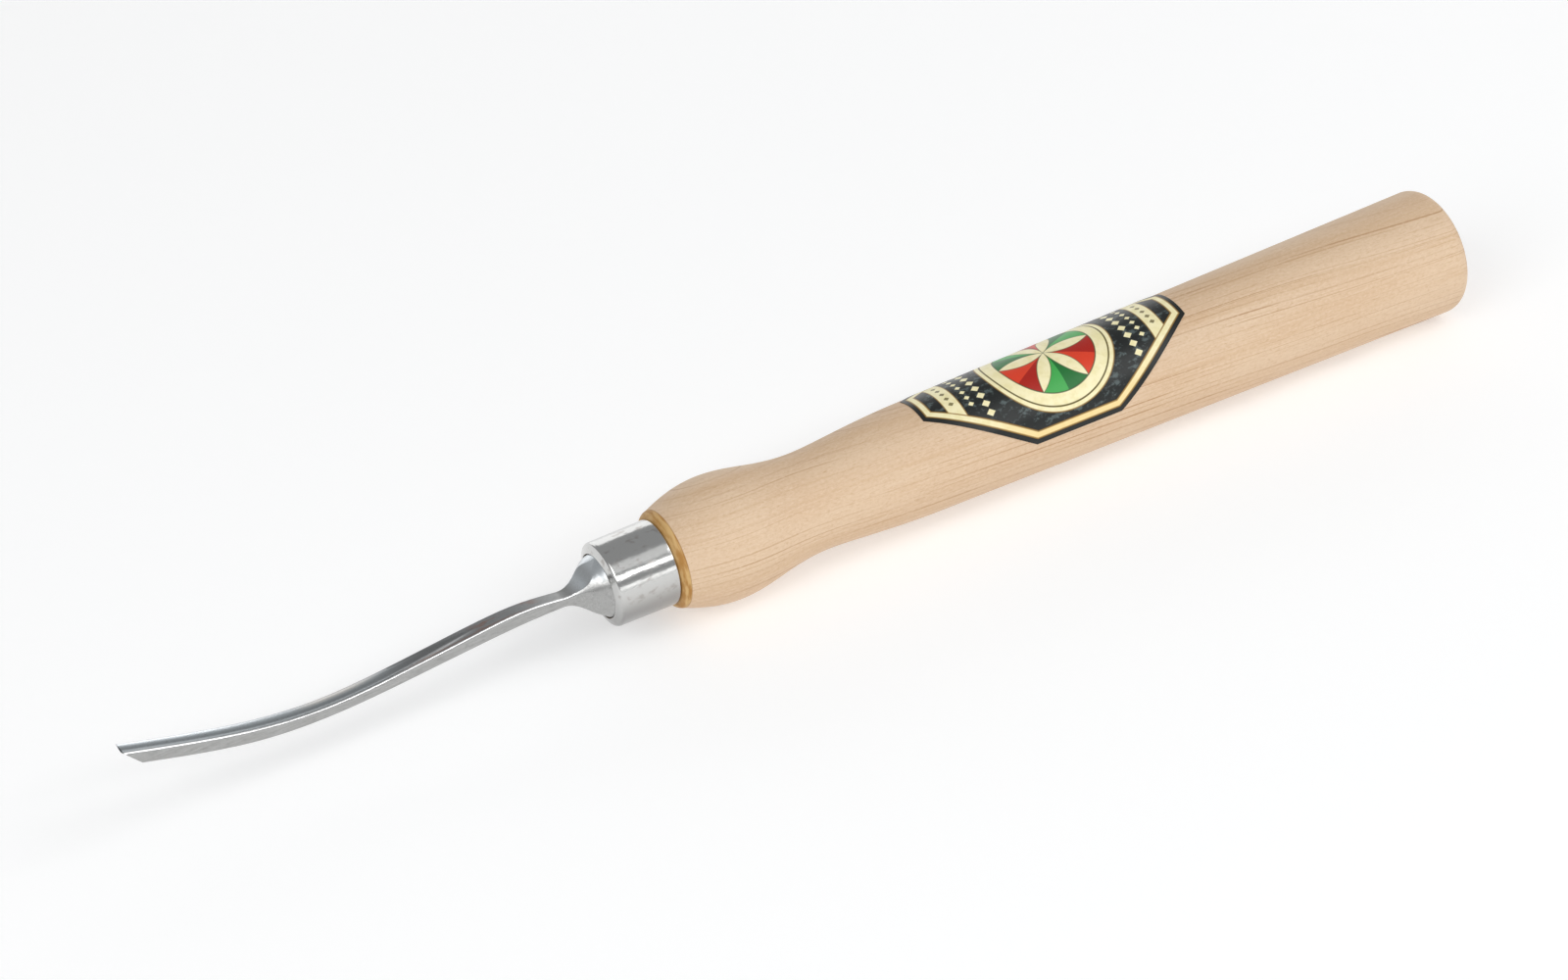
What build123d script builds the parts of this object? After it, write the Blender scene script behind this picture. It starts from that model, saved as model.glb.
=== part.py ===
from build123d import *
from math import cos, degrees, radians, sin
import os

# Small carving gouge, 3 mm wide, with a long-bent forged blade, a turned hornbeam handle,
# a drawn ferrule and a paper label.  Millimetres.
# The origin is the centre of the flat butt face.  +X runs along the handle axis and out of
# the butt, so the cutting edge points to -X; +Z is the side the channel opens to.

# ---- handle -------------------------------------------------------------------------------
HANDLE_LENGTH = 140.0        # ferrule's rear edge to butt face
SHOULDER = -HANDLE_LENGTH    # x of the ferrule's rear edge, where the wood steps down
SHOULDER_R = 6.78            # inner edge of the rounded shoulder behind the ferrule
SHOULDER_ROUND = (0.3, 7.28)  # a point half way up the shoulder's rounding
RIM = (1.15, 7.7)            # crisp turned rim at the top of the shoulder
BULB = (8.3, 9.57)           # fullest part of the finger bulb
BULB_REAR = (13.4, 9.38)
WAIST_FRONT = (19.0, 8.3)
WAIST = (24.6, 7.69)         # narrowest part of the waist
WAIST_REAR = (30.5, 7.97)
TAPER_X, TAPER_R = 44.0, 8.75  # start of the straight taper towards the butt
BUTT_R = 10.13               # taper radius at the butt face, before rounding
BUTT_ROUND = 2.3             # rounding of the butt edge
TENON_R = 5.85               # tenon inside the ferrule
TENON_LENGTH = 9.7

# ---- ferrule ------------------------------------------------------------------------------
FERRULE_R = 6.66             # outside radius at the rear edge
FERRULE_FRONT_R = 6.57       # outside radius at the front corner, before rounding
FERRULE_LENGTH = 10.2
FERRULE_LIP_X = 0.6          # length of the conical lip turned in at the front
FERRULE_CORNER = 0.6         # rounding between barrel and lip
FERRULE_MOUTH_R = 5.05       # opening the bolster sits in
FERRULE_LIP_FLAT = 0.07      # flat left around the opening
FERRULE_EDGE = 0.3           # softened rear edge

# ---- blade --------------------------------------------------------------------------------
BLADE_WIDTH = 3.0
NECK_WIDTH = 2.5
NARROWING = -34.0            # where the sides start to draw in towards the neck
TIP = -85.2                  # cutting edge, measured from the ferrule's rear edge
TIP_TOP = 5.0                # height of the cutting edge's corners above the axis
NECK = -16.5                 # narrowest section of the shank
BOLSTER_RIM = -10.0          # front rim of the bolster's round base
BOLSTER_R = 4.93
CHANNEL_R = 1.71             # radius of the hollow
CHANNEL_DEPTH = 0.5
CHANNEL_FADE = -44.0         # where the hollow starts to rise out of the top face
CHANNEL_START = (-87.2, 5.05)  # floor of the hollow, carried on past the cutting edge
CHANNEL_RISE = [(CHANNEL_FADE, -0.6), (-30, 1.3), (-24, 2.35)]  # its floor on leaving
BEVEL_ANGLE = 48.0           # outside bevel, measured from the handle axis
BEVEL_REACH = 6.0            # length of the bevel's cut
TANG_ROOT = 4.2              # square tang, side at the bolster
TANG_END = 2.4
TANG_LENGTH = 46.0           # bolster seat to tang end
CLEAR = 1.0                  # how far construction shapes run past what they cut

# side view: the shank dips below the axis, then the tip lifts above it
TOP_LINE = [
    (TIP, TIP_TOP), (-75, 2.25), (-65, 0.1), (-55.5, -0.8), (-42, 0.0), (-30, 1.3),
    (-22.5, 1.72), (NECK, 1.15),
]
BOTTOM_LINE = [
    (TIP, 2.95), (-75, 0.16), (-65, -1.9), (-55, -2.52), (-42, -1.82), (-30, -0.8),
    (-22, -0.42), (NECK, -0.4),
]
# the shank's flare into the bolster, from above the axis, below it and in plan
TOP_FLARE = [(NECK, 1.15), (-14.3, 1.5), (-12.8, 2.5), (-11.5, 3.85), (BOLSTER_RIM, 5.15)]
BOTTOM_FLARE = [(NECK, -0.4), (-15.0, -0.75), (-13.4, -1.75), (-12.0, -3.05), (BOLSTER_RIM, -5.15)]
SIDE_FLARE = [(NECK, NECK_WIDTH / 2), (-14.8, 1.5), (-13.2, 2.45), (-11.9, 3.6), (BOLSTER_RIM, 5.15)]
# turned envelope of the flare
CONE = [(NECK, 1.8), (-14.8, 2.02), (-13.2, 2.85), (-11.7, 3.85), (BOLSTER_RIM, BOLSTER_R)]

# ---- label --------------------------------------------------------------------------------
LABEL_THICKNESS = 0.1
LABEL_CENTRE = 67.4          # from the ferrule's rear edge
LABEL_HALF_LENGTH = 23.3
LABEL_HALF_WIDTH = 13.9      # measured round the handle
LABEL_SIDE_HALF = 7.5        # half of the straight long side
LABEL_END_HALF = 3.6         # half of the straight short end, measured round the handle
SLANT_STEPS = 4              # spans of the curve that cuts each corner

TAPER_SLOPE = (BUTT_R - TAPER_R) / (HANDLE_LENGTH - TAPER_X)


def at(offset, height):
    """Point in a side or plan view, with x measured from the ferrule's rear edge."""
    return (SHOULDER + offset, height)


def all_at(points):
    return [at(*point) for point in points]


def taper_radius(offset):
    """Radius of the handle's straight taper."""
    return TAPER_R + TAPER_SLOPE * (offset - TAPER_X)


# ---- blade: one forging with its bolster and tang -----------------------------------------
with BuildPart() as blade:
    with BuildSketch(Plane.XZ):
        with BuildLine():
            top = Spline(*all_at(TOP_LINE))
            top_flare = Spline(*all_at(TOP_FLARE), tangents=[top % 1, (1, 0.95)])
            bottom = Spline(*all_at(BOTTOM_LINE))
            bottom_flare = Spline(*all_at(BOTTOM_FLARE), tangents=[bottom % 1, (1, -1.1)])
            Line(top @ 0, bottom @ 0)
            Line(top_flare @ 1, bottom_flare @ 1)
        make_face()
    extrude(amount=BOLSTER_R + CLEAR, both=True)
    # plan view: parallel sides, a slight narrowing to the neck, then the flare
    with BuildSketch(Plane.XY):
        with BuildLine():
            side = Polyline(
                at(TIP, 0), at(TIP, BLADE_WIDTH / 2), at(NARROWING, BLADE_WIDTH / 2),
                at(NECK, NECK_WIDTH / 2),
            )
            flare = Spline(*all_at(SIDE_FLARE), tangents=[side % 1, (1, 1)])
            Polyline(flare @ 1, at(BOLSTER_RIM, 0), at(TIP, 0))
        make_face()
        mirror(about=Plane.XZ)
    extrude(amount=TIP_TOP + CLEAR, both=True, mode=Mode.INTERSECT)
    # turned envelope: rounds the flare's corners and leaves the shank square
    with BuildSketch(Plane.XZ):
        with BuildLine():
            cone = Spline(*all_at(CONE), tangents=[(1, 0.05), (1, 0.9)])
            Polyline(
                cone @ 1, at(BOLSTER_RIM, 0), at(TIP - CLEAR, 0), at(TIP - CLEAR, TIP_TOP + 3 * CLEAR),
                at(NECK, TIP_TOP + 3 * CLEAR), cone @ 0,
            )
        make_face()
    revolve(axis=Axis.X, mode=Mode.INTERSECT)
    # hollow along the top face, rising out of it towards the neck
    follow = [(s, z - CHANNEL_DEPTH) for s, z in TOP_LINE if s < CHANNEL_FADE]
    channel_floor = [CHANNEL_START, *follow, *CHANNEL_RISE]
    with BuildLine() as channel_path:
        Spline(*[(SHOULDER + s, 0, z + CHANNEL_R) for s, z in channel_floor])
    with BuildSketch(Plane(channel_path.line @ 0, x_dir=(0, 1, 0), z_dir=channel_path.line % 0)):
        Circle(CHANNEL_R)
    sweep(path=channel_path.line, mode=Mode.SUBTRACT)
    # outside bevel: follows the hollow, so the cutting edge is thin from corner to corner
    with BuildSketch(Plane.YZ.offset(SHOULDER + TIP)):
        with BuildLine():
            wide = BLADE_WIDTH / 2 + CLEAR
            rim_half = (CHANNEL_R**2 - (CHANNEL_R - CHANNEL_DEPTH) ** 2) ** 0.5
            Polyline(
                (-rim_half, TIP_TOP), (-wide, TIP_TOP), (-wide, 0), (wide, 0), (wide, TIP_TOP),
                (rim_half, TIP_TOP),
            )
            ThreePointArc((rim_half, TIP_TOP), (0, TIP_TOP - CHANNEL_DEPTH), (-rim_half, TIP_TOP))
        make_face()
    bevel = radians(BEVEL_ANGLE)
    extrude(amount=BEVEL_REACH, dir=(cos(bevel), 0, -sin(bevel)), mode=Mode.SUBTRACT)
    # round base seated on the wood, and the square tang driven into it
    with BuildSketch(Plane.YZ.offset(SHOULDER - TENON_LENGTH)):
        Circle(BOLSTER_R)
    extrude(amount=BOLSTER_RIM + TENON_LENGTH)
    with BuildSketch(Plane.YZ.offset(SHOULDER - TENON_LENGTH)):
        Rectangle(TANG_ROOT, TANG_ROOT)
    with BuildSketch(Plane.YZ.offset(SHOULDER - TENON_LENGTH + TANG_LENGTH)):
        Rectangle(TANG_END, TANG_END)
    loft()

# ---- ferrule ------------------------------------------------------------------------------
with BuildPart() as ferrule:
    with BuildSketch(Plane.XZ) as ferrule_profile:
        with BuildLine():
            front_corner = at(-FERRULE_LENGTH + FERRULE_LIP_X, FERRULE_FRONT_R)
            Polyline(
                at(-FERRULE_EDGE, FERRULE_R),
                front_corner,
                at(-FERRULE_LENGTH, FERRULE_MOUTH_R + FERRULE_LIP_FLAT),
                at(-FERRULE_LENGTH, FERRULE_MOUTH_R),
                at(-TENON_LENGTH, FERRULE_MOUTH_R),
                at(-TENON_LENGTH, TENON_R),
                at(0, TENON_R),
                at(0, FERRULE_R - FERRULE_EDGE),
            )
            RadiusArc(at(0, FERRULE_R - FERRULE_EDGE), at(-FERRULE_EDGE, FERRULE_R), -FERRULE_EDGE)
        make_face()
        fillet(ferrule_profile.vertices().sort_by_distance(front_corner)[0], FERRULE_CORNER)
    revolve(axis=Axis.X)

# ---- handle -------------------------------------------------------------------------------
with BuildPart() as handle:
    with BuildSketch(Plane.XZ):
        with BuildLine():
            Polyline(
                (0, 0), at(-TENON_LENGTH, 0), at(-TENON_LENGTH, TENON_R), at(0, TENON_R),
                at(0, SHOULDER_R),
            )
            ThreePointArc(at(0, SHOULDER_R), at(*SHOULDER_ROUND), at(*RIM))
            Spline(
                *all_at([RIM, BULB, BULB_REAR, WAIST_FRONT, WAIST, WAIST_REAR, (TAPER_X, TAPER_R)]),
                tangents=[(1, 0.42), (1, TAPER_SLOPE)],
            )
            round_start = (-BUTT_ROUND, taper_radius(HANDLE_LENGTH - BUTT_ROUND))
            Line(at(TAPER_X, TAPER_R), round_start)
            butt = TangentArc(round_start, (0, BUTT_R - BUTT_ROUND), tangent=(1, TAPER_SLOPE))
            Line(butt @ 1, (0, 0))
        make_face()
    revolve(axis=Axis.X)
    # square blind bore the tang fills
    with BuildSketch(Plane.YZ.offset(SHOULDER - TENON_LENGTH)):
        Rectangle(TANG_ROOT, TANG_ROOT)
    with BuildSketch(Plane.YZ.offset(SHOULDER - TENON_LENGTH + TANG_LENGTH)):
        Rectangle(TANG_END, TANG_END)
    loft(mode=Mode.SUBTRACT)

# ---- label --------------------------------------------------------------------------------
LABEL_R = taper_radius(LABEL_CENTRE)
half_angle = LABEL_HALF_WIDTH / LABEL_R
label_edge = Plane(
    origin=(0, 0, 0), x_dir=(1, 0, 0), z_dir=(0, -cos(half_angle), sin(half_angle))
)
near_end, far_end = LABEL_CENTRE - LABEL_HALF_LENGTH, LABEL_CENTRE + LABEL_HALF_LENGTH


def label_corner_cut(fraction):
    """Plan-view point on the slanted edge; 0 is the short end, 1 the long side."""
    along = LABEL_HALF_LENGTH + (LABEL_SIDE_HALF - LABEL_HALF_LENGTH) * fraction
    around = LABEL_END_HALF + (LABEL_HALF_WIDTH - LABEL_END_HALF) * fraction
    return at(LABEL_CENTRE + along, LABEL_R * sin(around / LABEL_R))


with BuildPart() as label:
    # thin shell on the taper, wrapped round the top of the handle
    with BuildSketch(label_edge):
        with BuildLine():
            Polyline(
                at(near_end, taper_radius(near_end)),
                at(far_end, taper_radius(far_end)),
                at(far_end, taper_radius(far_end) + LABEL_THICKNESS),
                at(near_end, taper_radius(near_end) + LABEL_THICKNESS),
                close=True,
            )
        make_face()
    revolve(axis=Axis.X, revolution_arc=2 * degrees(half_angle))
    # the four corners cut off aslant
    with BuildSketch(Plane.XY):
        with BuildLine():
            slant = Spline(*[label_corner_cut(step / SLANT_STEPS) for step in range(SLANT_STEPS + 1)])
            Polyline(
                slant @ 1,
                at(LABEL_CENTRE + LABEL_SIDE_HALF, LABEL_R + CLEAR),
                at(LABEL_CENTRE, LABEL_R + CLEAR),
                at(LABEL_CENTRE, 0),
                at(far_end, 0),
                slant @ 0,
            )
        make_face()
        mirror(about=Plane.XZ)
        mirror(about=Plane.YZ.offset(SHOULDER + LABEL_CENTRE))
    extrude(amount=BUTT_R + CLEAR, mode=Mode.INTERSECT)

blade.part.label = "blade"
ferrule.part.label = "ferrule"
handle.part.label = "handle"
label.part.label = "label"

os.makedirs("parts", exist_ok=True)
export_step(blade.part, "parts/blade.step")
export_step(ferrule.part, "parts/ferrule.step")
export_step(handle.part, "parts/handle.step")
export_step(label.part, "parts/label.step")
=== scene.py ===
import math

import bpy
from mathutils import Euler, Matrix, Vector


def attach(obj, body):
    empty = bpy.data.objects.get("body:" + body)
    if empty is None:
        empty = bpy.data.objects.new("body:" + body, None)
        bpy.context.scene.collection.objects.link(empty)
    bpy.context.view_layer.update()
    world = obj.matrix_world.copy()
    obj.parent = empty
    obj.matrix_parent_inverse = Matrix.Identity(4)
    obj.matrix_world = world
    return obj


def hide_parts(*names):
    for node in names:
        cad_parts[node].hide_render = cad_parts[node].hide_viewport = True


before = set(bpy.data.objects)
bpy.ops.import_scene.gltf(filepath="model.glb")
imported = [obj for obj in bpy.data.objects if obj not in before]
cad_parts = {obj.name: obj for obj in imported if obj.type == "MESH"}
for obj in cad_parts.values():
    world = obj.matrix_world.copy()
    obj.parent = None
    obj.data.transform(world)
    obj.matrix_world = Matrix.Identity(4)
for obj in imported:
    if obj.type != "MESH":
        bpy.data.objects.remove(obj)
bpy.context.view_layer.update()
scene = bpy.context.scene
scene.view_settings.view_transform = "Standard"
MM = 0.001

# ---- camera -------------------------------------------------------------------------------
camera = bpy.data.objects.new("camera", bpy.data.cameras.new("camera"))
scene.collection.objects.link(camera)
camera.location = (-0.36293, -0.50402, 0.36209)
camera.rotation_euler = Euler([math.radians(a) for a in (57.167, 6.144, -29.823)], "XYZ")
camera.data.sensor_width = 36.0
camera.data.lens = 103.43
camera.data.clip_start, camera.data.clip_end = 0.02, 20.0
scene.camera = camera

# ---- the gouge's dimensions, in millimetres, x measured from the ferrule's rear edge --------
HANDLE_LENGTH = 140.0
TENON_LENGTH, TENON_R = 9.7, 5.85
SHOULDER_R, SHOULDER_ROUND = 6.78, (0.3, 7.28)
RIM_X, RIM_R = 1.15, 7.7
TAPER_X, TAPER_R, BUTT_R = 44.0, 8.75, 10.13
SWELL = [(8.3, 9.57), (13.4, 9.38), (19.0, 8.3), (24.6, 7.69), (30.5, 7.97), (TAPER_X, TAPER_R)]
BUTT_ROUND = 2.3
TAPER_SLOPE = (BUTT_R - TAPER_R) / (HANDLE_LENGTH - TAPER_X)
FERRULE_R, FERRULE_EDGE, FERRULE_LENGTH = 6.66, 0.3, 10.2
FERRULE_FRONT_R, FERRULE_LIP_X, FERRULE_CORNER, FERRULE_MOUTH_R = 6.57, 0.6, 0.6, 5.05
FERRULE_LIP_FLAT = 0.07
LABEL_CENTRE, LABEL_HALF_LENGTH, LABEL_HALF_WIDTH = 67.4, 23.3, 13.9
LABEL_SIDE_HALF, LABEL_END_HALF = 7.5, 3.6
LABEL_THICKNESS = 0.1
TIP, TIP_TOP, NECK, BOLSTER_RIM, BOLSTER_R = -85.2, 5.0, -16.5, -10.0, 4.93
BLADE_HALF, NECK_HALF, NARROWING = 1.5, 1.25, -34
CHANNEL_R, CHANNEL_DEPTH = 1.71, 0.5
CHANNEL_FADE, CHANNEL_RUN_OUT = -47, -30
ARRIS, NECK_ARRIS = 0.26, 0.3  # eased edge along the shank, and at the neck
TANG_ROOT_HALF, TANG_END_HALF, TANG_END = 2.1, 1.2, 36.3
BEVEL = math.tan(math.radians(48.0))
BEVEL_RUN = 3.2  # length of blade that the outside bevel takes up
HANDLE_SEGMENTS, FERRULE_SEGMENTS = 160, 128


def taper_radius(s):
    return TAPER_R + TAPER_SLOPE * (s - TAPER_X)


def spline(points, start=None, end=None):
    """Smooth curve y(x) through a few points; start and end are its end slopes, free where None."""
    xs, ys = [p[0] for p in points], [p[1] for p in points]
    n = len(points)
    a, b, c, d = [0.0] * n, [0.0] * n, [0.0] * n, [0.0] * n
    h = [xs[i + 1] - xs[i] for i in range(n - 1)]
    k = [(ys[i + 1] - ys[i]) / h[i] for i in range(n - 1)]
    if start is None:
        b[0], c[0], d[0] = 2.0, 1.0, 3.0 * k[0]
    else:
        b[0], c[0], d[0] = 1.0, 0.0, start
    for i in range(1, n - 1):
        a[i], b[i], c[i] = h[i], 2 * (h[i - 1] + h[i]), h[i - 1]
        d[i] = 3 * (h[i] * k[i - 1] + h[i - 1] * k[i])
    if end is None:
        a[-1], b[-1], d[-1] = 1.0, 2.0, 3.0 * k[-1]
    else:
        a[-1], b[-1], d[-1] = 0.0, 1.0, end
    for i in range(1, n):
        w = a[i] / b[i - 1]
        b[i] -= w * c[i - 1]
        d[i] -= w * d[i - 1]
    m = [0.0] * n
    m[-1] = d[-1] / b[-1]
    for i in range(n - 2, -1, -1):
        m[i] = (d[i] - c[i] * m[i + 1]) / b[i]

    def at(x):
        i = max(0, min(n - 2, sum(x >= v for v in xs[1:])))
        t = (x - xs[i]) / h[i]
        return (
            (1 + 2 * t) * (1 - t) ** 2 * ys[i] + t * (1 - t) ** 2 * h[i] * m[i]
            + t * t * (3 - 2 * t) * ys[i + 1] - t * t * (1 - t) * h[i] * m[i + 1]
        )

    return at


def lerp(a, b, t):
    return a + (b - a) * t


def smooth(lo, hi, x):
    t = max(0.0, min(1.0, (x - lo) / (hi - lo)))
    return t * t * (3 - 2 * t)


def span(lo, hi, count):
    """count + 1 evenly spaced values from lo to hi."""
    return [lerp(lo, hi, i / count) for i in range(count + 1)]


# ---- meshes ---------------------------------------------------------------------------------
def make_piece(name, verts, faces, node, slot, sharp=32.0):
    """A mesh piece from points in millimetres in the ferrule-based frame, standing for a CAD node."""
    mesh = bpy.data.meshes.new(name)
    mesh.from_pydata([((x - HANDLE_LENGTH) * MM, y * MM, z * MM) for x, y, z in verts], [], faces)
    mesh.validate()
    mesh.update()
    mesh.shade_smooth()
    mesh.set_sharp_from_angle(angle=math.radians(sharp))
    piece = bpy.data.objects.new(name, mesh)
    scene.collection.objects.link(piece)
    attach(piece, "root")
    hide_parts(node)
    return piece


def lathe(profile, segments, closed=False):
    """Verts and faces of a profile of (x, r) points turned about the X axis; r 0 makes a pole."""
    verts, faces, rings = [], [], []
    for x, r in profile:
        if r < 1e-9:
            rings.append([len(verts)])
            verts.append((x, 0.0, 0.0))
            continue
        rings.append(list(range(len(verts), len(verts) + segments)))
        for i in range(segments):
            turn = 2 * math.pi * i / segments
            verts.append((x, r * math.sin(turn), r * math.cos(turn)))
    pairs = list(zip(rings, rings[1:])) + ([(rings[-1], rings[0])] if closed else [])
    for a, b in pairs:
        for i in range(segments):
            j = (i + 1) % segments
            quad = [a[i % len(a)], a[j % len(a)], b[j % len(b)], b[i % len(b)]]
            faces.append(tuple(dict.fromkeys(quad)))
    return verts, faces


def arc(cx, cr, radius, start, end, count):
    """Points of a profile arc about (cx, cr); angles in degrees, 0 along +x, 90 outwards."""
    return [
        (cx + radius * math.cos(math.radians(a)), cr + radius * math.sin(math.radians(a)))
        for a in span(start, end, count)
    ]


def circle_through(a, b, c):
    """Centre and radius of the circle through three (x, r) points."""
    (ax, ay), (bx, by), (cx, cy) = a, b, c
    d = 2 * (ax * (by - cy) + bx * (cy - ay) + cx * (ay - by))
    ux = ((ax**2 + ay**2) * (by - cy) + (bx**2 + by**2) * (cy - ay) + (cx**2 + cy**2) * (ay - by)) / d
    uy = ((ax**2 + ay**2) * (cx - bx) + (bx**2 + by**2) * (ax - cx) + (cx**2 + cy**2) * (bx - ax)) / d
    return ux, uy, math.hypot(ax - ux, ay - uy)


def bearing(cx, cr, point):
    """Angle in degrees from a profile centre to a point."""
    return math.degrees(math.atan2(point[1] - cr, point[0] - cx))


# handle: tenon, rounded shoulder, crisp rim, bulb, waist, straight taper and rounded butt
swell = spline([(RIM_X, RIM_R)] + SWELL, start=0.42, end=TAPER_SLOPE)
cx, cr, radius = circle_through((0.0, SHOULDER_R), SHOULDER_ROUND, (RIM_X, RIM_R))
first, last = bearing(cx, cr, (0.0, SHOULDER_R)), bearing(cx, cr, (RIM_X, RIM_R))
profile = [(-TENON_LENGTH, 0.0), (-TENON_LENGTH, TENON_R), (-0.02, TENON_R), (0.0, TENON_R + 0.02)]
profile += arc(cx, cr, radius, first, last, 12)[:-1]
profile += [(RIM_X - 0.05, RIM_R - 0.025), (RIM_X + 0.05, RIM_R + 0.01)]
profile += [(s, swell(s)) for s in span(RIM_X + 0.16, TAPER_X, 110)]
profile += [(s, taper_radius(s)) for s in span(TAPER_X, HANDLE_LENGTH - BUTT_ROUND, 60)[1:]]
butt_in = BUTT_R - BUTT_ROUND * TAPER_SLOPE
profile += arc(HANDLE_LENGTH - BUTT_ROUND, butt_in - BUTT_ROUND, BUTT_ROUND, 88, 0, 16)
profile += [(HANDLE_LENGTH, r) for r in (6.0, 4.0, 2.0, 0.0)]
handle = make_piece("turned_handle", *lathe(profile, HANDLE_SEGMENTS), "handle", "handle_wood")

# ferrule: drawn tube with a softened rear edge and a conical lip turned in at the front
corner_x, mouth = FERRULE_LIP_X - FERRULE_LENGTH, FERRULE_MOUTH_R + FERRULE_LIP_FLAT
lean = math.degrees(math.atan2(FERRULE_FRONT_R - mouth, FERRULE_LIP_X))
back = FERRULE_CORNER * math.tan(math.radians(lean / 2))
front = [(lerp(-FERRULE_LENGTH, corner_x, t), lerp(mouth, FERRULE_FRONT_R, t)) for t in (0.0, 0.2, 0.4)]
front += arc(corner_x + back, FERRULE_FRONT_R - FERRULE_CORNER, FERRULE_CORNER, 90 + lean, 90, 12)
barrel = [(s, lerp(FERRULE_FRONT_R, FERRULE_R, (s - corner_x) / (-FERRULE_EDGE - corner_x)))
          for s in span(corner_x + back, -FERRULE_EDGE, 14)]
rear = arc(-FERRULE_EDGE, FERRULE_R - FERRULE_EDGE, FERRULE_EDGE, 90, 0, 6)
inner = [(0.0, TENON_R), (-TENON_LENGTH, TENON_R), (-TENON_LENGTH, FERRULE_MOUTH_R)]
profile = front + barrel[1:] + rear[1:] + inner + [(-FERRULE_LENGTH, FERRULE_MOUTH_R)]
verts, faces = lathe(profile, FERRULE_SEGMENTS, closed=True)
ferrule = make_piece("drawn_ferrule", verts, faces, "ferrule", "ferrule_nickel")

# blade: one forging from the cutting edge, through shank and bolster, to the tang
top_z = spline(
    [(TIP, TIP_TOP), (-75, 2.25), (-65, 0.1), (-55.5, -0.8), (-42, 0.0), (-30, 1.3),
     (-22.5, 1.72), (NECK, 1.15)]
)
bottom_z = spline(
    [(TIP, 2.95), (-75, 0.16), (-65, -1.9), (-55, -2.52), (-42, -1.82), (-30, -0.8),
     (-22, -0.42), (NECK, -0.4)]
)
flare_top = spline(
    [(NECK, 1.15), (-14.3, 1.5), (-12.8, 2.5), (-11.5, 3.85), (BOLSTER_RIM, BOLSTER_R)], start=-0.05
)
flare_bottom = spline(
    [(NECK, -0.4), (-15.0, -0.75), (-13.4, -1.75), (-12.0, -3.05), (BOLSTER_RIM, -BOLSTER_R)], start=-0.05
)
flare_side = spline(
    [(NECK, NECK_HALF), (-14.8, 1.5), (-13.2, 2.45), (-11.9, 3.6), (BOLSTER_RIM, BOLSTER_R)],
    start=-0.014,
)
CORNER_STEPS, SIDE_STEPS, TOP_STEPS = 6, 6, 24
HOLLOW_SHARE = 1 - 4 / TOP_STEPS  # of the top's steps, those that follow the hollow
ARRIS_SHARE = 0.7  # width of the eased arris over its height


def section(s):
    """Half width, top, bottom, corner size, hollow depth and arris lean of the forging at s."""
    if s <= NECK:
        half = lerp(BLADE_HALF, NECK_HALF, smooth(NARROWING, NECK, s))
        depth = CHANNEL_DEPTH * (1 - smooth(CHANNEL_FADE, CHANNEL_RUN_OUT, s))
        corner = lerp(ARRIS, NECK_ARRIS, smooth(-40, NECK, s))
        return half, top_z(s), bottom_z(s), corner, depth, 1.0
    half, top, bottom = flare_side(s), flare_top(s), flare_bottom(s)
    round_to = smooth(NECK + 1, BOLSTER_RIM, s) ** 1.3
    corner = lerp(NECK_ARRIS, 0.97 * min(half, (top - bottom) / 2), round_to)
    return half, top, bottom, corner, 0.0, 1 - smooth(-12.6, -10.9, s)


def eased_corner(size, steps, lean):
    """Corner points from the upper face down to the side, as (in from the side, down from the top).

    Where lean is 0 the corner is a quarter circle; where it is 1 it is a narrow flat that leans
    towards the side, softened at both ends."""
    pts = []
    for i in range(1, steps + 1):
        turn = math.pi / 2 * i / steps
        round_in, round_down = size * (1 - math.sin(turn)), size * (1 - math.cos(turn))
        t = i / steps
        flat_in = size * ARRIS_SHARE * (1 - t) ** 1.15
        flat_down = size * t ** 1.15
        pts.append((lerp(round_in, flat_in, lean), lerp(round_down, flat_down, lean)))
    return pts


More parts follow.
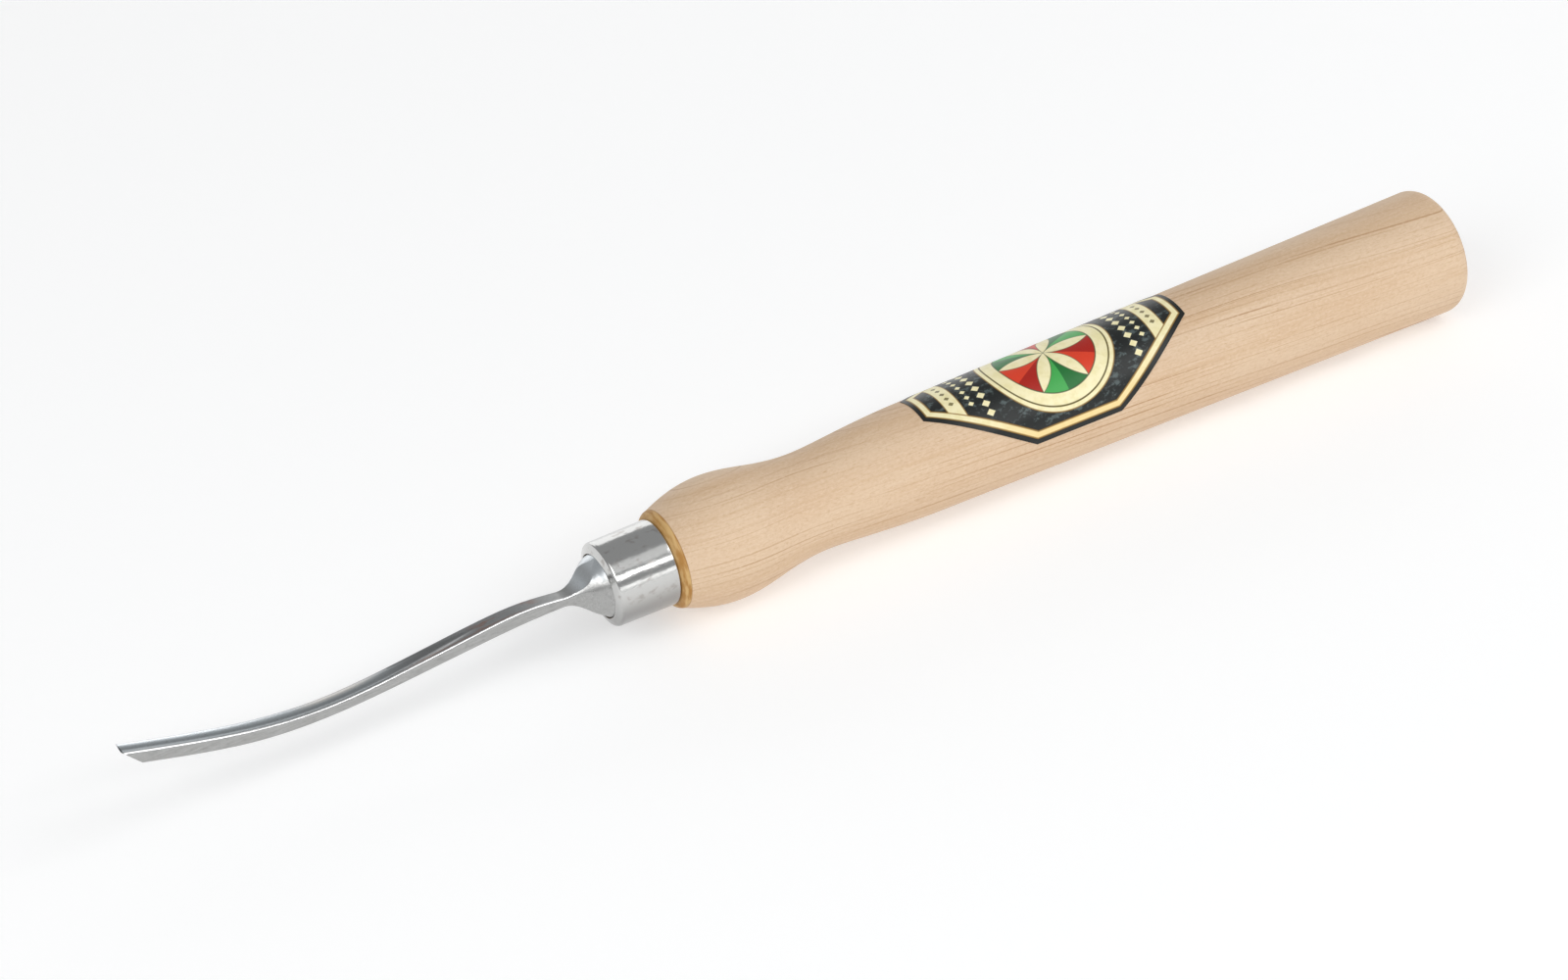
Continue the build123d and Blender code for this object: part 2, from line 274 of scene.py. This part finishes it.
def outline(half, top, bottom, corner, depth, lean=0.0, cut=None):
    """Section points from the hollow round to +Y and back; cut is the bevel's drop here."""
    reach = lerp(corner, corner * ARRIS_SHARE, lean)
    flat = half - reach
    rim = min(flat, math.sqrt(CHANNEL_R**2 - (CHANNEL_R - depth) ** 2)) if depth > 0 else 0.0
    pts = []
    for i in range(TOP_STEPS + 1):
        turn = lerp(-1, 1, i / TOP_STEPS)
        y = flat * turn
        if depth > 0:
            # all steps but two on each side follow the hollow's curve
            y = rim * turn / HOLLOW_SHARE
            if abs(turn) > HOLLOW_SHARE:
                y = math.copysign(lerp(rim, flat, (abs(turn) - HOLLOW_SHARE) / (1 - HOLLOW_SHARE)), turn)
        dip = math.sqrt(max(0.0, CHANNEL_R**2 - y * y)) - (CHANNEL_R - depth) if depth > 0 else 0.0
        pts.append((y, top - max(0.0, dip)))
    shoulder = eased_corner(corner, CORNER_STEPS, lean)
    pts += [(half - inward, top - down) for inward, down in shoulder]
    for i in range(1, SIDE_STEPS):
        pts.append((half, lerp(top - corner, bottom + corner, i / SIDE_STEPS)))
    low = min(corner, 0.25) if cut is not None else corner
    for i in range(CORNER_STEPS + 1):
        turn = math.pi / 2 * i / CORNER_STEPS
        pts.append((half - low + low * math.cos(turn), bottom + low - low * math.sin(turn)))
    for i in range(1, TOP_STEPS):
        pts.append((lerp(half - low, low - half, i / TOP_STEPS), bottom))
    for i in range(CORNER_STEPS + 1):
        turn = math.pi / 2 * i / CORNER_STEPS
        pts.append((low - half - low * math.sin(turn), bottom + low - low * math.cos(turn)))
    for i in range(1, SIDE_STEPS):
        pts.append((-half, lerp(bottom + corner, top - corner, i / SIDE_STEPS)))
    pts += [(inward - half, top - down) for inward, down in reversed(shoulder)]
    if cut is None:
        return pts
    kept = []
    for y, z in pts:
        dip = max(0.0, math.sqrt(max(0.0, CHANNEL_R**2 - y * y)) - (CHANNEL_R - CHANNEL_DEPTH))
        kept.append((y, max(z, min(TIP_TOP - dip - cut, top - dip))))
    return kept


stations = span(TIP, TIP + BEVEL_RUN, 80) + span(TIP + BEVEL_RUN, NECK, 220)[1:]
stations += span(NECK, BOLSTER_RIM, 56)[1:]
loops = []
for s in stations:
    beyond = s - TIP
    cut = beyond * BEVEL if beyond < BEVEL_RUN else None
    loops.append([(s, y, z) for y, z in outline(*section(s), cut=cut)])
for s, half in ((BOLSTER_RIM + 0.1, BOLSTER_R), (-TENON_LENGTH, BOLSTER_R)):
    loops.append([(s, y, z) for y, z in outline(half, half, -half, 0.97 * half, 0.0)])
for s, half in ((-TENON_LENGTH, TANG_ROOT_HALF), (TANG_END, TANG_END_HALF)):
    loops.append([(s, y, z) for y, z in outline(half, half, -half, 0.1, 0.0)])
count = len(loops[0])
verts = [v for loop in loops for v in loop]
faces = []
for i in range(len(loops) - 1):
    for j in range(count):
        k = (j + 1) % count
        faces.append((i * count + j, i * count + k, (i + 1) * count + k, (i + 1) * count + j))
faces.append(tuple(range((len(loops) - 1) * count, len(loops) * count)))
faces.append(tuple(reversed(range(count))))
blade = make_piece("forged_blade", verts, faces, "blade", "blade_steel", sharp=40.0)

# label: paper shell wrapped round the taper, centred on the top of the handle
LABEL_R = taper_radius(LABEL_CENTRE)


def label_reach(along):
    """Half of the label's width round the handle at a distance from its middle."""
    if abs(along) <= LABEL_SIDE_HALF:
        return LABEL_HALF_WIDTH
    share = (abs(along) - LABEL_SIDE_HALF) / (LABEL_HALF_LENGTH - LABEL_SIDE_HALF)
    return lerp(LABEL_HALF_WIDTH, LABEL_END_HALF, share)


columns = sorted(set([round(v, 4) for v in span(-LABEL_HALF_LENGTH, LABEL_HALF_LENGTH, 120)]
                     + [-LABEL_SIDE_HALF, LABEL_SIDE_HALF]))
ROWS = 72
verts, faces = [], []
for lift in (LABEL_THICKNESS, 0.004):
    for along in columns:
        reach, s = label_reach(along), LABEL_CENTRE + along
        for row in range(ROWS + 1):
            turn = lerp(-reach, reach, row / ROWS) / LABEL_R
            r = taper_radius(s) + lift
            verts.append((s, r * math.sin(turn), r * math.cos(turn)))
wide, layer = len(columns), len(columns) * (ROWS + 1)
for i in range(wide - 1):
    for j in range(ROWS):
        a = i * (ROWS + 1) + j
        b = a + ROWS + 1
        faces.append((a, b, b + 1, a + 1))
        faces.append((layer + a, layer + a + 1, layer + b + 1, layer + b))
rim = [i * (ROWS + 1) for i in range(wide)] + [(wide - 1) * (ROWS + 1) + j for j in range(1, ROWS + 1)]
rim += [i * (ROWS + 1) + ROWS for i in range(wide - 2, -1, -1)] + list(range(ROWS - 1, 0, -1))
for a, b in zip(rim, rim[1:] + rim[:1]):
    faces.append((a, a + layer, b + layer, b))
label = make_piece("paper_label", verts, faces, "label", "label_paper")


# ---- materials ------------------------------------------------------------------------------
class Field:
    """A number that varies over a surface, written with ordinary arithmetic and kept as nodes."""

    def __init__(self, tree, socket):
        self.tree, self.socket = tree, socket

    def math(self, operation, *others, clamp=False):
        made = self.tree.nodes.new("ShaderNodeMath")
        made.operation, made.use_clamp = operation, clamp
        for slot, value in zip(made.inputs, (self, *others)):
            plug(self.tree, slot, value)
        return Field(self.tree, made.outputs[0])

    def __add__(self, other):
        return self.math("ADD", other)

    def __sub__(self, other):
        return self.math("SUBTRACT", other)

    def __mul__(self, other):
        return self.math("MULTIPLY", other)

    def __truediv__(self, other):
        return self.math("DIVIDE", other)

    __radd__, __rmul__ = __add__, __mul__

    def flip(self):
        """1 - value"""
        return self.math("MULTIPLY_ADD", -1.0, 1.0)

    def size(self):
        return self.math("ABSOLUTE")

    def low(self, other):
        return self.math("MINIMUM", other)

    def high(self, other):
        return self.math("MAXIMUM", other)

    def rise(self, lo, hi):
        """0 below lo, 1 above hi, smooth between; lo above hi makes it fall."""
        if lo > hi:
            return self.rise(hi, lo).flip()
        made = self.tree.nodes.new("ShaderNodeMapRange")
        made.interpolation_type = "SMOOTHSTEP"
        made.inputs["From Min"].default_value, made.inputs["From Max"].default_value = lo, hi
        plug(self.tree, made.inputs["Value"], self)
        return Field(self.tree, made.outputs["Result"])

    def near(self, centre, half, soft):
        """1 within half of centre, falling to 0 over soft."""
        return (self - centre).size().rise(half + soft / 2, half - soft / 2)


def plug(tree, slot, value):
    if isinstance(value, Field):
        tree.links.new(value.socket, slot)
    elif isinstance(value, bpy.types.NodeSocket):
        tree.links.new(value, slot)
    else:
        slot.default_value = value


def srgb(r, g, b):
    """8-bit screen colour as linear RGBA."""
    linear = [((v / 255 + 0.055) / 1.055) ** 2.4 if v > 10 else v / 255 / 12.92 for v in (r, g, b)]
    return (*linear, 1.0)


class Paint:
    """A material's node tree with the few nodes the surfaces here are made of."""

    def __init__(self, piece, name, **fixed):
        self.material = bpy.data.materials.new(name)
        self.material.use_nodes = True
        self.tree = self.material.node_tree
        self.shader = self.tree.nodes["Principled BSDF"]
        for key, value in fixed.items():
            self.shader.inputs[key.replace("_", " ")].default_value = value
        coordinates = self.tree.nodes.new("ShaderNodeTexCoord")
        parts = self.tree.nodes.new("ShaderNodeSeparateXYZ")
        self.tree.links.new(coordinates.outputs["Object"], parts.inputs[0])
        self.x, self.y, self.z = (Field(self.tree, parts.outputs[i]) * 1000.0 for i in range(3))
        facing = self.tree.nodes.new("ShaderNodeSeparateXYZ")
        self.tree.links.new(coordinates.outputs["Normal"], facing.inputs[0])
        self.normal_z = Field(self.tree, facing.outputs[2])
        piece.data.materials.clear()
        piece.data.materials.append(self.material)

    def noise(self, x, y, z, detail=2.0, roughness=0.5):
        at = self.tree.nodes.new("ShaderNodeCombineXYZ")
        for slot, value in zip(at.inputs, (x, y, z)):
            plug(self.tree, slot, value)
        made = self.tree.nodes.new("ShaderNodeTexNoise")
        self.tree.links.new(at.outputs[0], made.inputs["Vector"])
        made.inputs["Scale"].default_value = 1.0
        made.inputs["Detail"].default_value = detail
        made.inputs["Roughness"].default_value = roughness
        return Field(self.tree, made.outputs["Fac"])

    def mix(self, under, over, share):
        made = self.tree.nodes.new("ShaderNodeMix")
        made.data_type = "RGBA"
        plug(self.tree, made.inputs[0], share)
        plug(self.tree, made.inputs[6], under)
        plug(self.tree, made.inputs[7], over)
        return made.outputs[2]

    def colour(self, value):
        plug(self.tree, self.shader.inputs["Base Color"], value)

    def roughness(self, value):
        plug(self.tree, self.shader.inputs["Roughness"], value)

    def bump(self, height, distance):
        """Height is in millimetres once multiplied by distance."""
        made = self.tree.nodes.new("ShaderNodeBump")
        made.inputs["Strength"].default_value = 1.0
        made.inputs["Distance"].default_value = distance * MM
        plug(self.tree, made.inputs["Height"], height)
        self.tree.links.new(made.outputs["Normal"], self.shader.inputs["Normal"])


# wood: pale straight-grained hornbeam, sanded and waxed to a satin
wood = Paint(handle, "hornbeam", Specular_IOR_Level=0.3)
TURN = math.radians(27.0)
across = wood.z * math.cos(TURN) + wood.y * math.sin(TURN)
through = wood.z * math.sin(TURN) - wood.y * math.cos(TURN)
sway = wood.noise(wood.x * 0.012, across * 0.05, through * 0.05, detail=1.0) - 0.5
ring = across + wood.x * 0.045 + through * through * 0.01 + sway * 4.0
crowd = wood.noise(ring * 0.16, wood.x * 0.012, 21.0, detail=2.0).rise(0.35, 0.6) * 0.7 + 0.3


def growth_lines(pitch, wander, width, seed):
    """Thin dark lines where the growth rings reach the surface, uneven in spacing and strength."""
    place = ring / pitch + wood.noise(ring * 0.3, seed, 0.5, detail=1.0) * wander
    strength = wood.noise(place.math("FLOOR") * 7.3, wood.x * 0.03, seed + 4.0, detail=2.0)
    line = place.math("FRACT").near(0.5, width / pitch / 2, width / pitch)
    return line * strength.rise(0.42, 0.6) * crowd


rings = growth_lines(1.9, 3.4, 0.17, 2.7)
hairs = growth_lines(0.75, 2.4, 0.1, 11.3)
late = wood.noise(ring * 0.5, 3.1, wood.x * 0.006, detail=3.0, roughness=0.6).rise(0.5, 0.68)
fibre = wood.noise(wood.x * 0.09, across * 3.0, through * 3.0, detail=3.0, roughness=0.65)
fleck = wood.noise(wood.x * 0.5, across * 5.0, through * 5.0, detail=1.0).rise(0.68, 0.78)
cloud = wood.noise(wood.x * 0.03, across * 0.16, through * 0.16, detail=2.0).rise(0.35, 0.7)
tone = wood.mix(srgb(218, 191, 161), srgb(212, 182, 150), cloud)
tone = wood.mix(tone, srgb(202, 168, 130), late * 0.38)
tone = wood.mix(tone, srgb(162, 112, 62), rings * 0.85)
tone = wood.mix(tone, srgb(172, 126, 78), hairs * 0.5)
tone = wood.mix(tone, srgb(226, 204, 178), fibre.rise(0.5, 0.72) * 0.35)
tone = wood.mix(tone, srgb(184, 142, 100), fleck * 0.45)
speck = wood.noise(wood.x * 1.6, across * 3.2, through * 3.2, detail=3.0, roughness=0.7)
tone = wood.mix(tone, srgb(192, 156, 118), speck.rise(0.5, 0.74) * 0.42)
tone = wood.mix(tone, srgb(234, 212, 186), speck.rise(0.5, 0.28) * 0.3)
along = wood.x + HANDLE_LENGTH
turned = wood.noise(along * 2.0, across * 0.35, through * 0.35, detail=3.0)
amber = wood.mix(srgb(204, 168, 112), srgb(172, 124, 62), turned.rise(0.35, 0.65))
tone = wood.mix(tone, amber, along.rise(RIM_X + 0.04, RIM_X - 0.08))
tone = wood.mix(tone, srgb(132, 88, 42), along.near(RIM_X - 0.05, 0.03, 0.14) * 0.7)
tone = wood.mix(tone, srgb(176, 136, 96), wood.x.rise(-1.1, -0.1) * 0.55)
wood.colour(tone)
wood.roughness(fibre * 0.18 + 0.42)
wood.bump(fibre * 0.6 + fleck * -0.8 + rings * -0.3, 0.012)

# ferrule: bright nickel over a drawn tube, slightly wavy, with fine handling scratches and specks, and
# painted shade on its downward-facing side
nickel = Paint(ferrule, "nickel_plate", Metallic=1.0)
wave = nickel.noise(nickel.x * 0.35, nickel.y * 0.35, nickel.z * 0.35, detail=3.0, roughness=0.55)
scratch = nickel.noise(nickel.x * 0.6, nickel.y * 6.0, nickel.z * 6.0, detail=4.0, roughness=0.7)
smudge = nickel.noise(nickel.x * 0.5, nickel.y * 0.7, nickel.z * 0.7, detail=3.0, roughness=0.6)
smudge = smudge.rise(0.56, 0.72)
# painted shade: the plate is darkened where its surface faces down
underside_painted_shade = nickel.normal_z.rise(0.2, -0.4)
plate = nickel.mix(srgb(208, 208, 206), srgb(160, 150, 144), smudge * 0.5)
nickel.colour(nickel.mix(plate, srgb(150, 149, 148), underside_painted_shade * 0.85))
nickel.roughness(scratch * 0.12 + 0.08 + smudge * 0.12)
nickel.bump(wave * 1.6 + scratch * 0.2, 0.03)

# blade: ground tool steel, finely brushed along its length, with a faint temper tint at the neck
steel = Paint(blade, "ground_steel", Metallic=1.0)
s_along = steel.x + HANDLE_LENGTH
upward = steel.normal_z.rise(0.55, 0.8)
brushed = steel.noise(steel.x * 0.35, steel.y * 9.0, steel.z * 9.0, detail=4.0, roughness=0.7)
blotch = steel.noise(steel.x * 0.3, steel.y * 0.9, steel.z * 0.9, detail=3.0)
mottle = steel.noise(steel.x * 1.1, steel.y * 2.2, steel.z * 2.2, detail=3.0, roughness=0.65)
metal = steel.mix(srgb(180, 180, 179), srgb(166, 166, 164), brushed.rise(0.4, 0.62))
metal = steel.mix(metal, srgb(150, 150, 149), mottle.rise(0.5, 0.7) * 0.5)
# painted reflection: the hollow's top faces are tinted a lighter bluish grey towards the tip, fading out
# by s -33
hollow = steel.y.size().rise(1.28, 1.1) * upward * s_along.rise(-33.0, -50.0)
metal = steel.mix(metal, srgb(176, 184, 189), hollow * 0.6)
# painted shade: the shank's upward faces between about s -42 and -18 are darkened to a dull grey
shank_top_painted_shade = upward * s_along.near(-30.0, 12.5, 9.0)
metal = steel.mix(metal, srgb(140, 142, 143), shank_top_painted_shade * 0.75)
tint = s_along.near(-25.5, 4.5, 5.0) * blotch.rise(0.5, 0.62) * upward
# a thin brown line along the near edge of the top face, from about s -45 to -23, in the same brown as the
# tint at the neck
near_edge_brown_line = s_along.near(-34.0, 11.0, 8.0) * steel.y.near(-1.0, 0.12, 0.25) * upward
metal = steel.mix(metal, srgb(150, 104, 86), tint.high(near_edge_brown_line * 0.8) * 0.7)
# painted reflection: the far wall of the top face is lightened towards the tip, from about s -42 outwards
far_wall_painted_sheen = steel.y.rise(0.25, 0.95) * upward
metal = steel.mix(metal, srgb(206, 212, 216), far_wall_painted_sheen * s_along.rise(-42.0, -52.0) * 0.8)
glint = steel.y.rise(0.5, 1.0) * upward * s_along.near(-52.5, 5.0, 6.0)
metal = steel.mix(metal, srgb(236, 232, 226), glint * 0.8)
# painted highlight: the bolster flare's upward faces are lightened near white
flare_painted_highlight = steel.normal_z.rise(0.5, 0.8) * s_along.rise(-15.5, -13.0)
metal = steel.mix(metal, srgb(232, 238, 242), flare_painted_highlight * 0.75)
# the eased arris along the shank: its lower roughness is polish, its lighter colour a painted highlight
arris = steel.normal_z.near(0.57, 0.14, 0.2) * s_along.near(-50.0, 35.5, 1.0)
metal = steel.mix(metal, srgb(206, 206, 206), arris)
steel.colour(metal)
steel.roughness((brushed * 0.2 + 0.15 + mottle * 0.1) * (arris * -0.6 + 1.0))
steel.bump(brushed * 0.3 + mottle * 0.5 + blotch * 0.8, 0.012)

# label: printed paper, drawn from its own outline, rules, disc and a chip-carved rosette
paper = Paint(label, "printed_paper", Specular_IOR_Level=0.35, Coat_Weight=0.12, Coat_Roughness=0.3)
CREAM, GOLD, BLACK = srgb(245, 236, 192), srgb(150, 112, 42), srgb(24, 28, 27)
GREEN, DARK_GREEN = srgb(64, 166, 78), srgb(26, 110, 48)
RED, DARK_RED = srgb(216, 62, 34), srgb(168, 28, 14)
u = paper.x + (HANDLE_LENGTH - LABEL_CENTRE)
v = paper.y.math("ARCTAN2", paper.z) * (LABEL_R + LABEL_THICKNESS)
au, av = u.size(), v.size()
run, drop = LABEL_HALF_LENGTH - LABEL_SIDE_HALF, LABEL_HALF_WIDTH - LABEL_END_HALF
long_edge = math.hypot(run, drop)
slant = (au * -1.0 + LABEL_HALF_LENGTH) * (drop / long_edge)
slant = slant + (av * -1.0 + LABEL_END_HALF) * (run / long_edge)
inset = (au * -1.0 + LABEL_HALF_LENGTH).low(av * -1.0 + LABEL_HALF_WIDTH).low(slant)
radius = (u * u + v * v).math("SQRT")
WHEEL_R = 7.9
INK = 0.10
rule = inset.rise(0.8 - INK / 2, 0.8 + INK / 2) * inset.rise(1.85 + INK / 2, 1.85 - INK / 2)
rule_gold = inset.near(0.8, 0.12, INK).high(inset.near(1.85, 0.12, INK))
inside = inset.rise(1.8, 1.9)
band = au.near(17.95, 1.25, INK) * inside
band_gold = au.near(16.7, 0.09, INK).high(au.near(19.2, 0.09, INK)) * inside
disc = radius.rise(10.8 + INK / 2, 10.8 - INK / 2)
ring_line = radius.near(9.95, 0.13, INK)
disc_gold = radius.near(10.8, 0.1, INK)
cream_part = rule.high(band).high(disc)
angle = v.math("ARCTAN2", u)


def folded(turn):
    """Distance out along, and off to the side of, the nearest of six directions."""
    around = (angle + (math.pi / 6 + turn + 4 * math.pi)).math("MODULO", math.pi / 3) - math.pi / 6
    return radius * around.math("COSINE"), radius * around.math("SINE")


# a daisy wheel: six petals stepped off with the compass, the chips between them in two facets
out, off = folded(0.0)
from_middle = out - WHEEL_R / 2
petal = (from_middle * from_middle * -1.0 + WHEEL_R**2).high(0.0).math("SQRT")
petal = petal - WHEEL_R * math.cos(math.pi / 6)
petal_gap = petal - off.size()
wheel = radius.rise(WHEEL_R + INK / 2, WHEEL_R - INK / 2)
chip = petal_gap.rise(0.0, -INK) * wheel
wheel_line = petal_gap.near(-0.02, 0.07, INK).high(radius.near(WHEEL_R, 0.1, INK)) * radius.rise(
    WHEEL_R + 0.25, WHEEL_R + 0.15)
sixth = ((angle + 4 * math.pi) / (math.pi / 3)).math("FLOOR")
odd = (sixth.math("MODULO", 2.0)).rise(0.4, 0.6)
facet = folded(math.pi / 6)[1].rise(-0.05, 0.05)


def notches(at, count, pitch, size):
    """A row of small rhombs across the label, count to each side of its middle."""
    cell = (v + (60.0 + 0.5) * pitch).math("MODULO", pitch) - pitch / 2
    rhomb = (au - at).size() + cell.size() * 1.15
    return rhomb.rise(size + 0.06, size - 0.06) * av.rise((count + 0.52) * pitch, (count + 0.48) * pitch)


marks = notches(13.1, 4, 1.65, 0.74) * radius.rise(11.3, 11.5)
marks = marks.high(notches(15.2, 3, 1.35, 0.5))
wear = paper.noise(paper.x * 0.7, v * 0.7, 1.0, detail=5.0, roughness=0.6)
# painted reflection: bluish grey gloss patches on the black print
black_painted_gloss = paper.noise(paper.x * 0.55, v * 0.8, 4.0, detail=4.0, roughness=0.68)
black_painted_gloss = black_painted_gloss.rise(0.5, 0.64) * inset.rise(1.9, 2.4)
print_black = paper.mix(BLACK, srgb(98, 112, 112), black_painted_gloss * 0.62)
cream_tone = paper.mix(CREAM, srgb(228, 216, 152), wear.rise(0.4, 0.65) * 0.5)
# painted reflection: the cream rules turn golden towards the -v side of the label
cream_tone = paper.mix(cream_tone, srgb(243, 208, 134), rule * (v * -1.0).rise(6.0, 13.5) * 0.7)
ink = paper.mix(print_black, cream_tone, cream_part)
ink = paper.mix(ink, GOLD, rule_gold.high(band_gold).high(disc_gold) * 0.8)
ink = paper.mix(ink, srgb(96, 84, 30), ring_line)
ink = paper.mix(ink, cream_tone, marks * cream_part.flip())
ink = paper.mix(ink, srgb(96, 84, 30), notches(17.95, 2, 1.35, 0.48) * band * 0.85)
greens = paper.mix(GREEN, DARK_GREEN, facet)
reds = paper.mix(RED, DARK_RED, facet)
ink = paper.mix(ink, paper.mix(greens, reds, odd), chip)
ink = paper.mix(ink, srgb(48, 66, 30), wheel_line * 0.85)
paper.colour(ink)
crinkle = paper.noise(paper.x * 0.28, v * 0.28, 7.0, detail=4.0, roughness=0.62)
paper.roughness(wear * 0.22 + 0.26)
paper.bump(crinkle * 2.0 + wear * 0.35, 0.04)

# ---- floor and light ------------------------------------------------------------------------
FLOOR_Z = -10.12 * MM
bpy.ops.mesh.primitive_plane_add(size=8.0, location=(0, 0, FLOOR_Z))
floor = bpy.context.object
floor.name = "floor"
ground = bpy.data.materials.new("pale_floor")
ground.use_nodes = True
surface = ground.node_tree.nodes["Principled BSDF"]
surface.inputs["Base Color"].default_value = (0.72, 0.72, 0.72, 1)
surface.inputs["Roughness"].default_value = 0.9
surface.inputs["Specular IOR Level"].default_value = 0.1
surface.inputs["Emission Color"].default_value = (1, 1, 1, 1)
surface.inputs["Emission Strength"].default_value = 0.36
floor.data.materials.append(ground)

world = bpy.data.worlds.new("studio")
world.use_nodes = True
world.node_tree.nodes["Background"].inputs["Color"].default_value = (0.97, 0.985, 1.0, 1)
world.node_tree.nodes["Background"].inputs["Strength"].default_value = 0.36
scene.world = world


def softbox(name, azimuth, elevation, distance, width, height, radiance):
    """Area light aimed at the middle of the gouge; azimuth 0 is in front (-Y), 90 beyond the butt."""
    aim = Vector((-0.115, 0.0, 0.0))
    data = bpy.data.lights.new(name, "AREA")
    data.shape, data.size, data.size_y = "RECTANGLE", width, height
    data.energy = radiance * math.pi * width * height
    light = bpy.data.objects.new(name, data)
    scene.collection.objects.link(light)
    turn, lift = math.radians(azimuth), math.radians(elevation)
    away = Vector((math.sin(turn) * math.cos(lift), -math.cos(turn) * math.cos(lift), math.sin(lift)))
    light.location = aim + away * distance
    light.rotation_euler = (-away).to_track_quat("-Z", "Y").to_euler()
    light.visible_camera = False
    return light


softbox("strip_front", 0, 35, 1.4, 1.9, 0.22, 3.4)
softbox("strip_low_front", 0, 6, 1.4, 1.9, 0.2, 1.3)
softbox("panel_high_front", 0, 60, 1.4, 1.8, 0.6, 0.45)
softbox("panel_back", 160, 15, 1.4, 2.4, 0.75, 0.95)
softbox("fill_tip_side", -62, 35, 1.5, 0.9, 0.9, 2.5)
softbox("fill_butt_side", 62, 35, 1.5, 0.9, 0.9, 2.5)
